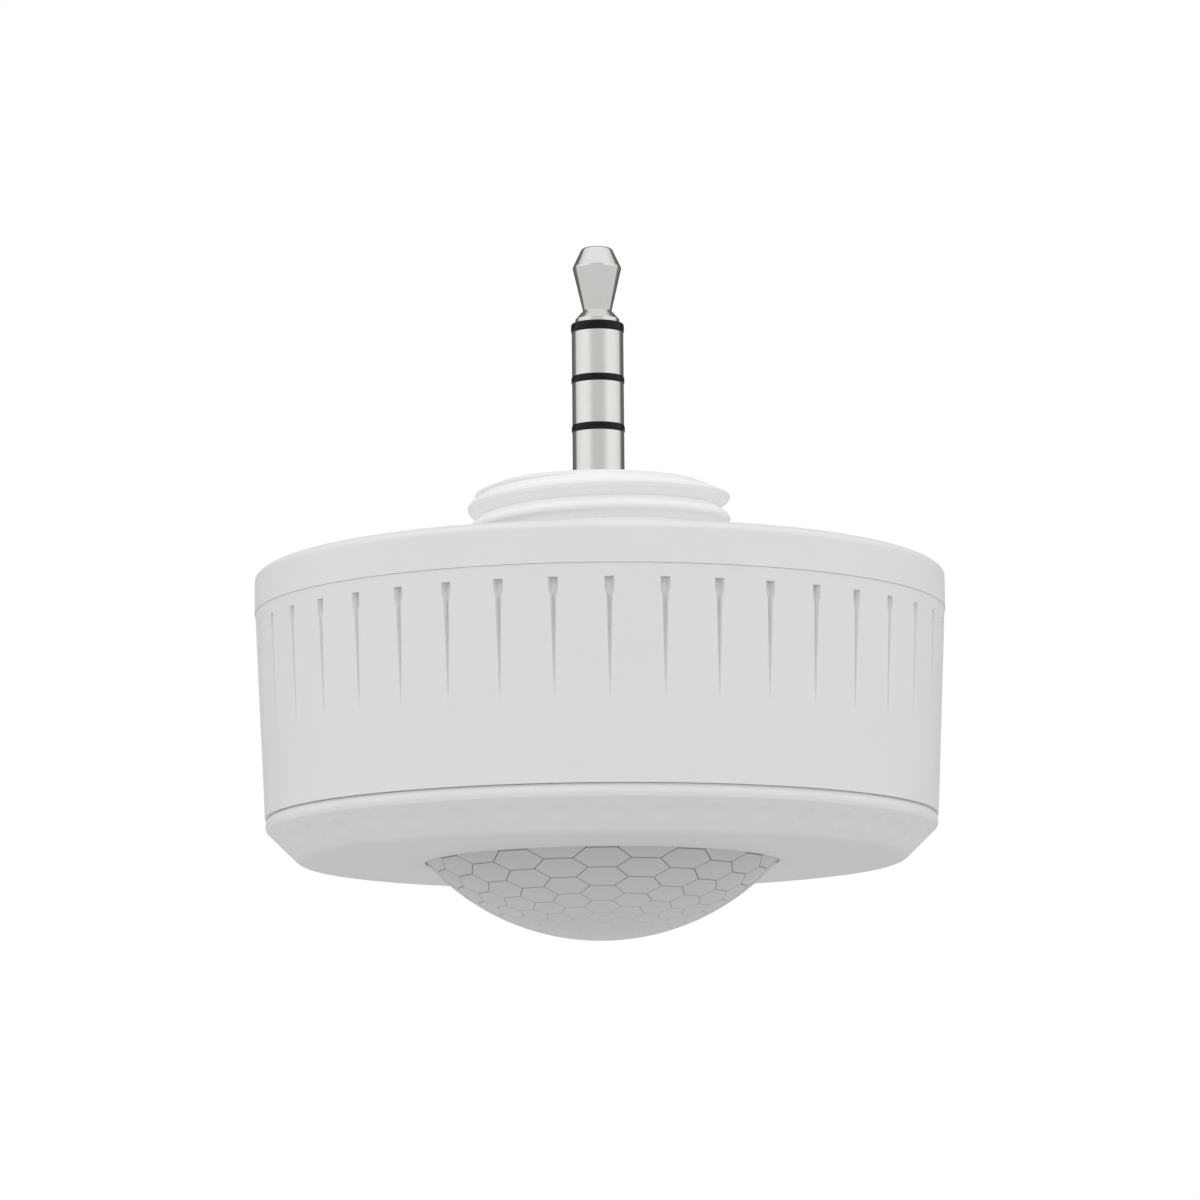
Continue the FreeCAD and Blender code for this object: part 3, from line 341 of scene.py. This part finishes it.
def coated_silicon(name):
    """The infrared pane: nearly black with a faint violet and bronze sheen."""
    r = Recipe(name)
    cloud = r.grain(2.0 * MM, detail=2.0)
    return r.surface(
        Base_Color=r.blend(cloud, (0.050, 0.034, 0.055), (0.075, 0.060, 0.045)),
        Roughness=0.10 + 0.08 * cloud,
        Coat_Weight=0.6,
    )


# ---------------------------------------------------------------- camera, light and floor
CAMERA_PLACE = Vector((0.009, -312.37, -48.53)) * MM
CAMERA_TILT_UP = 0.148
CAMERA_ROLL = -0.009
FOCAL_IMAGE_WIDTHS = 3.91375
SENSOR_WIDTH = 36.0
FLOOR_HEIGHT = -0.6
FLOOR_RADIUS = 12.0
FLOOR_SIDES = 96


def place_camera():
    """The camera, a little below the head and tilted up at it."""
    data = bpy.data.cameras.new("camera")
    data.sensor_width = SENSOR_WIDTH
    data.lens = FOCAL_IMAGE_WIDTHS * SENSOR_WIDTH
    data.clip_start = 0.01
    camera = bpy.data.objects.new("camera", data)
    bpy.context.scene.collection.objects.link(camera)
    turn = Matrix.Rotation(math.pi / 2 + CAMERA_TILT_UP, 4, "X") @ Matrix.Rotation(CAMERA_ROLL, 4, "Z")
    camera.matrix_world = Matrix.Translation(CAMERA_PLACE) @ turn
    bpy.context.scene.camera = camera


# brightness of the surroundings, as (place from 0 to 1, brightness): from below to above for matt
# things, and from the front to the back for shiny ones
BELOW_TO_ABOVE = ((0.45, 0.70), (0.52, 1.14), (0.70, 1.12), (1.0, 1.03))
FRONT_TO_BACK = ((0.0, 0.61), (0.05, 0.65), (0.10, 0.80), (0.17, 0.93), (0.45, 0.90), (0.68, 0.73), (0.74, 0.20),
                 (0.85, 0.14), (1.0, 0.10))


class Surroundings:
    """The world's node tree: even and white to look at, graded for what it lights."""

    def __init__(self):
        world = bpy.data.worlds.new("studio")
        world.use_nodes = True
        self.tree = world.node_tree
        self.tree.nodes.clear()
        bpy.context.scene.world = world
        direction = self.add("ShaderNodeTexCoord", {}, {}).outputs["Generated"]
        self.direction = self.add("ShaderNodeSeparateXYZ", {}, {"Vector": direction})
        self.rays = self.add("ShaderNodeLightPath", {}, {})

    def add(self, kind, settings, inputs):
        node = self.tree.nodes.new(kind)
        for name, value in settings.items():
            setattr(node, name, value)
        for name, value in inputs.items():
            if isinstance(value, bpy.types.NodeSocket):
                self.tree.links.new(value, node.inputs[name])
            else:
                node.inputs[name].default_value = value
        return node

    def graded(self, axis, stops):
        """Brightness that changes with the direction along one axis."""
        share = self.add("ShaderNodeMapRange", {}, {
            "Value": self.direction.outputs[axis], "From Min": -1.0, "From Max": 1.0})
        ramp = self.add("ShaderNodeValToRGB", {}, {"Fac": share.outputs[0]})
        Recipe.set_stops(ramp.color_ramp, [(place, (bright,) * 3) for place, bright in stops])
        return ramp.outputs["Color"]

    def choose(self, ray, otherwise, chosen):
        """One colour for rays of a kind, another for the rest."""
        mix = self.add("ShaderNodeMix", {"data_type": "RGBA"}, {
            0: self.rays.outputs[ray], 6: otherwise, 7: chosen})
        return mix.outputs[2]


def studio_surroundings():
    """Even white surroundings that light from above, with darker walls in front and behind for shiny things."""
    s = Surroundings()
    lit = s.choose("Is Glossy Ray", s.graded("Z", BELOW_TO_ABOVE), s.graded("Y", FRONT_TO_BACK))
    seen = s.choose("Is Camera Ray", lit, (1, 1, 1, 1))
    light = s.add("ShaderNodeBackground", {}, {"Color": seen, "Strength": 1.0})
    output = s.add("ShaderNodeOutputWorld", {}, {})
    s.tree.links.new(light.outputs[0], output.inputs["Surface"])


def pale_floor():
    """A plain matt floor far below the head."""
    bpy.ops.object.select_all(action="DESELECT")
    bpy.ops.mesh.primitive_circle_add(vertices=FLOOR_SIDES, radius=FLOOR_RADIUS, fill_type="NGON",
                                      location=(0, 0, FLOOR_HEIGHT))
    floor = bpy.context.object
    floor.name = "floor"
    bpy.ops.object.transform_apply(location=True)
    r = Recipe("floor_paint")
    cloud = r.grain(0.2, detail=3.0)
    floor.data.materials.append(r.surface(
        Base_Color=r.blend(cloud, (0.59, 0.59, 0.59), (0.62, 0.62, 0.62)), Roughness=0.6))


# ---------------------------------------------------------------- the lens
BALL_RADIUS = 15.72 * MM        # outer sphere of the dome
LENS_WALL = 0.55 * MM
FLANGE_THICK = 0.65 * MM
LENS_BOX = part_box("fresnel_lens")
BALL_CENTRE = LENS_BOX[0][2] + BALL_RADIUS
FLANGE_LOW = LENS_BOX[1][2] - FLANGE_THICK
FLANGE_RADIUS = LENS_BOX[1][0]
CELL_COLUMNS = 24
CELL_ROWS = 8
CELL_HEIGHT = 1.36 * MM         # measured out from the axis
FIRST_ROW = 11.76 * MM          # outer edge of the front column's first whole cell
SHEET_RADIUS = 12 * MM          # where a cell's width on the flat sheet is its true width
CELL_SIDE = 2 * math.pi * SHEET_RADIUS / CELL_COLUMNS / 1.5
LINE_WIDTH = 0.035 * MM         # each side of a valley
LINE_DEPTH = 0.06 * MM
CELL_CUTS = 2
LINES_START = 3.5 * MM          # the valleys deepen from here
LINES_FULL = 9.0 * MM           # to here
FAINTEST = 0.15                 # share of their depth that they keep at the pole
SQUEEZE_START = 10.4 * MM       # the outermost cells are lower
SQUEEZE = 0.88


def edit(piece):
    """Makes a piece the only one selected and goes into its edit mode."""
    bpy.ops.object.select_all(action="DESELECT")
    piece.select_set(True)
    bpy.context.view_layer.objects.active = piece
    bpy.ops.object.mode_set(mode="EDIT")
    bpy.ops.mesh.select_mode(type="VERT")


def pick_points(piece, wanted):
    """In edit mode, selects only the points whose place passes a test."""
    bpy.ops.mesh.select_all(action="DESELECT")
    bpy.ops.object.mode_set(mode="OBJECT")
    for point in piece.data.vertices:
        point.select = wanted(point.co)
    bpy.ops.object.mode_set(mode="EDIT")


def repeat(piece, count, offset):
    """Copies the whole piece in a row, each copy joined to the last where they meet."""
    row = piece.modifiers.new("row", "ARRAY")
    row.count = count
    row.use_relative_offset = False
    row.use_constant_offset = True
    row.constant_offset_displace = offset
    bpy.ops.object.modifier_apply(modifier=row.name)


def cell_sheet():
    """A flat sheet of flat-topped hexagons: X runs around the dome, and Y out from its pole."""
    bpy.ops.object.select_all(action="DESELECT")
    bpy.ops.mesh.primitive_circle_add(vertices=6, radius=1, fill_type="NGON", rotation=(0, 0, math.pi / 2))
    sheet = bpy.context.object
    bpy.ops.object.transform_apply(rotation=True)
    sheet.scale = (CELL_SIDE, CELL_HEIGHT / math.sqrt(3), 1)
    sheet.location = (0, FIRST_ROW + CELL_HEIGHT / 2, 0)
    bpy.ops.object.transform_apply(location=True, scale=True)
    repeat(sheet, CELL_ROWS, (0, -CELL_HEIGHT, 0))
    edit(sheet)
    bpy.ops.mesh.select_all(action="SELECT")
    bpy.ops.mesh.duplicate_move(TRANSFORM_OT_translate={"value": (1.5 * CELL_SIDE, CELL_HEIGHT / 2, 0)})
    bpy.ops.object.mode_set(mode="OBJECT")
    repeat(sheet, CELL_COLUMNS // 2, (3 * CELL_SIDE, 0, 0))
    return sheet


def engrave(sheet):
    """Gives every cell a sloping edge, so that a valley runs between neighbours, and fills the pole."""
    last_row = FIRST_ROW + 1.5 * CELL_HEIGHT - CELL_ROWS * CELL_HEIGHT
    edit(sheet)
    bpy.ops.mesh.select_all(action="SELECT")
    bpy.ops.mesh.remove_doubles(threshold=0.001 * MM)
    bpy.ops.mesh.inset(thickness=LINE_WIDTH, use_individual=True)
    bpy.ops.mesh.poke()
    bpy.ops.mesh.select_all(action="INVERT")
    bpy.ops.transform.translate(value=(0, 0, -LINE_DEPTH))
    pick_points(sheet, lambda p: p.z < -LINE_DEPTH / 2 and p.y < last_row + 0.1 * CELL_HEIGHT)
    bpy.ops.mesh.extrude_edges_move(TRANSFORM_OT_translate={"value": (0, -LINE_WIDTH, LINE_DEPTH)})
    bpy.ops.mesh.extrude_edges_move(TRANSFORM_OT_translate={"value": (0, 0, 0)})
    bpy.ops.transform.resize(value=(1, 0, 1), center_override=(0, 0, 0))
    bpy.ops.object.mode_set(mode="OBJECT")
    # the valley faces take the second material, whose darker colour is painted shade
    for face in sheet.data.polygons:
        lowest = min(sheet.data.vertices[v].co.z for v in face.vertices)
        face.material_index = 1 if lowest < -LINE_DEPTH / 2 else 0
    edit(sheet)
    bpy.ops.mesh.select_all(action="SELECT")
    bpy.ops.mesh.subdivide(number_cuts=CELL_CUTS)
    bpy.ops.object.mode_set(mode="OBJECT")


def on_dome(point):
    """The place on the dome of a point of the flat sheet, its Z measured out from the dome."""
    around = point.x / SHEET_RADIUS - math.pi / 2
    squeezed = min(point.y, SQUEEZE_START) + SQUEEZE * max(point.y - SQUEEZE_START, 0)
    out = squeezed / BALL_RADIUS
    depth_share = (point.y - LINES_START) / (LINES_FULL - LINES_START)
    reach = BALL_RADIUS + point.z * min(max(depth_share, FAINTEST), 1)
    return Vector((reach * out * math.cos(around), reach * out * math.sin(around),
                   BALL_CENTRE - reach * math.sqrt(1 - out * out)))


def dome_lens():
    """The lens: the engraved sheet wrapped into a dome, cut at its foot, with a flange and a wall."""
    lens = cell_sheet()
    lens.name = "dome_lens"
    # the cells carry painted shade, darker towards the rim
    lens.data.materials.append(milky_lens("lens_moulding_painted_shade", CELL_PAINTED_SHADE))
    # the valleys get painted shade that darkens the lines between cells
    lens.data.materials.append(milky_lens("lens_valley_painted_shade", VALLEY_PAINTED_SHADE))
    engrave(lens)
    for point in lens.data.vertices:
        point.co = on_dome(point.co)
    edit(lens)
    bpy.ops.mesh.select_all(action="SELECT")
    bpy.ops.mesh.remove_doubles(threshold=MERGE_REACH)
    bpy.ops.mesh.select_all(action="SELECT")
    bpy.ops.mesh.bisect(plane_co=(0, 0, FLANGE_LOW), plane_no=(0, 0, 1), clear_outer=True)
    foot_radius = math.sqrt(BALL_RADIUS ** 2 - (FLANGE_LOW - BALL_CENTRE) ** 2)
    widening = FLANGE_RADIUS / foot_radius
    bpy.ops.mesh.extrude_edges_move(TRANSFORM_OT_translate={"value": (0, 0, 0)})
    bpy.ops.transform.resize(value=(widening, widening, 1), center_override=(0, 0, FLANGE_LOW))
    bpy.ops.object.mode_set(mode="OBJECT")
    wall = lens.modifiers.new("wall", "SOLIDIFY")
    wall.thickness = LENS_WALL
    wall.offset = -1
    bpy.ops.object.modifier_apply(modifier=wall.name)
    bpy.ops.object.shade_smooth_by_angle(angle=math.radians(25))
    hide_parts("fresnel_lens")
    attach(lens, "bezel")


# ---------------------------------------------------------------- the plug's bands
BAND_RADIUS = 1.80 * MM         # they stand a little proud of the metal
BAND_ROUNDING = 0.14 * MM
ROUNDING_STEPS = 6
TURN_SIDES = 128
SHEATH_WALL = 0.20 * MM
# CAD node, name, lower and upper height of the band, inner radius
BANDS = (
    ("plug_insulator_front", "tip_band", 16.30 * MM, 16.95 * MM, 0.35 * MM),
    ("plug_insulator_middle", "middle_band", 12.78 * MM, 13.28 * MM, 0.75 * MM),
    ("plug_insulator_rear", "rear_band", 9.42 * MM, 9.94 * MM, 1.15 * MM),
)


def turned(name, profile):
    """A closed piece turned around the axis from a ring of (radius, height) corners."""
    bpy.ops.object.select_all(action="DESELECT")
    bpy.ops.mesh.primitive_circle_add(vertices=TURN_SIDES, radius=profile[0][0], location=(0, 0, profile[0][1]))
    piece = bpy.context.object
    piece.name = name
    bpy.ops.object.transform_apply(location=True)
    edit(piece)
    bpy.ops.mesh.select_all(action="SELECT")
    for (radius, height), (next_radius, next_height) in zip(profile, profile[1:] + profile[:1]):
        bpy.ops.mesh.extrude_edges_move(TRANSFORM_OT_translate={"value": (0, 0, next_height - height)})
        growth = next_radius / radius
        bpy.ops.transform.resize(value=(growth, growth, 1), center_override=(0, 0, next_height))
    bpy.ops.mesh.select_all(action="SELECT")
    bpy.ops.mesh.remove_doubles(threshold=MERGE_REACH)
    bpy.ops.mesh.select_all(action="SELECT")
    bpy.ops.mesh.normals_make_consistent(inside=False)
    bpy.ops.object.mode_set(mode="OBJECT")
    return piece


def rounded(height, start):
    """Corners of a quarter round on the band's edge, from a start angle in degrees, about a height."""
    turns = [math.radians(start + 90 * k / ROUNDING_STEPS) for k in range(ROUNDING_STEPS + 1)]
    middle = BAND_RADIUS - BAND_ROUNDING
    return [(middle + BAND_ROUNDING * math.cos(t), height + BAND_ROUNDING * math.sin(t)) for t in turns]


def plug_bands():
    """The black bands between the plug's poles, each with rounded edges and a sheath that runs back inside."""
    finish = glossy_black("band_insulation")
    for node, name, low, high, inner in BANDS:
        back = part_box(node)[0][2]
        sheath = inner + SHEATH_WALL
        band = turned(name, [(inner, back), (sheath, back), (sheath, low)] + rounded(low + BAND_ROUNDING, -90)
                      + rounded(high - BAND_ROUNDING, 0) + [(inner, high)])
        bpy.ops.object.shade_smooth_by_angle(angle=math.radians(40))
        band.data.materials.append(finish)
        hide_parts(node)
        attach(band, "head")


# ---------------------------------------------------------------- finishes on the frame's own pieces
def give_finish(material, *nodes):
    for node in nodes:
        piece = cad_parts[node]
        piece.data.materials.clear()
        piece.data.materials.append(material)


def give_finishes():
    """A finish for every piece of the frame that stays in sight or inside the head."""
    white = moulded_plastic("white_moulding", (0.80, 0.80, 0.795))
    give_finish(white, "housing_ring", "front_bezel", "lens_retainer")
    # the cover's neck is painted paler above the seat: painted light
    give_finish(moulded_plastic("white_cover_painted_neck_light", (0.80, 0.80, 0.795), neck_painted_light=(0.90, 0.90, 0.895)),
                "rear_cover")
    give_finish(nickel_plate("nickel_plating"), "plug_tip", "plug_ring_front", "plug_ring_rear", "plug_sleeve")
    give_finish(glossy_black("black_insulation"), "plug_holder")
    give_finish(seal_rubber("seal_rubber_grey"), "neck_seal", "cover_seal", "bezel_seal")
    for node, shade in (("wire_tip", (0.55, 0.02, 0.015)), ("wire_ring_front", (0.70, 0.50, 0.03)),
                        ("wire_ring_rear", (0.75, 0.75, 0.73)), ("wire_sleeve", (0.03, 0.03, 0.03))):
        give_finish(wire_sheath("sheath_of_" + node, shade), node)
    give_finish(board_resist("board_resist_green"), "circuit_board")
    give_finish(plated_steel("zinc_plating"), "board_screws")
    give_finish(plated_steel("can_nickel", (0.70, 0.68, 0.64)), "pyro_can", "pyro_header")
    give_finish(plated_steel("tin_plating", (0.66, 0.66, 0.65)), "chip_pins", "dip_switch_pins")
    give_finish(coated_silicon("infrared_pane"), "pyro_window")
    give_finish(clear_epoxy("sensor_epoxy", (0.88, 0.89, 0.90), 0.85), "light_sensor")
    give_finish(clear_epoxy("lamp_epoxy", (0.65, 0.03, 0.02), 0.5), "indicator_led")
    give_finish(chip_epoxy("chip_compound"), "microcontroller", "amplifier_chip", "voltage_regulator",
                "capacitor_bases", "pyro_spacer")
    give_finish(brushed_can("can_aluminium"), "capacitor_cans")
    give_finish(tinned_ends("resistor_body", "chip_resistors", (0.02, 0.02, 0.022), 0.3 * MM), "chip_resistors")
    give_finish(tinned_ends("ceramic_body", "chip_capacitors", (0.42, 0.28, 0.16), 0.4 * MM), "chip_capacitors")
    give_finish(moulded_plastic("switch_blue_moulding", (0.03, 0.11, 0.40), 0.38, unevenness=0.12),
                "dip_switch_body")
    give_finish(moulded_plastic("slider_white_moulding", (0.76, 0.76, 0.74), 0.36),
                "dip_slider_1", "dip_slider_2", "dip_slider_3", "dip_slider_4")


bpy.context.scene.view_settings.view_transform = "Standard"
place_camera()
studio_surroundings()
pale_floor()
dome_lens()
plug_bands()
give_finishes()
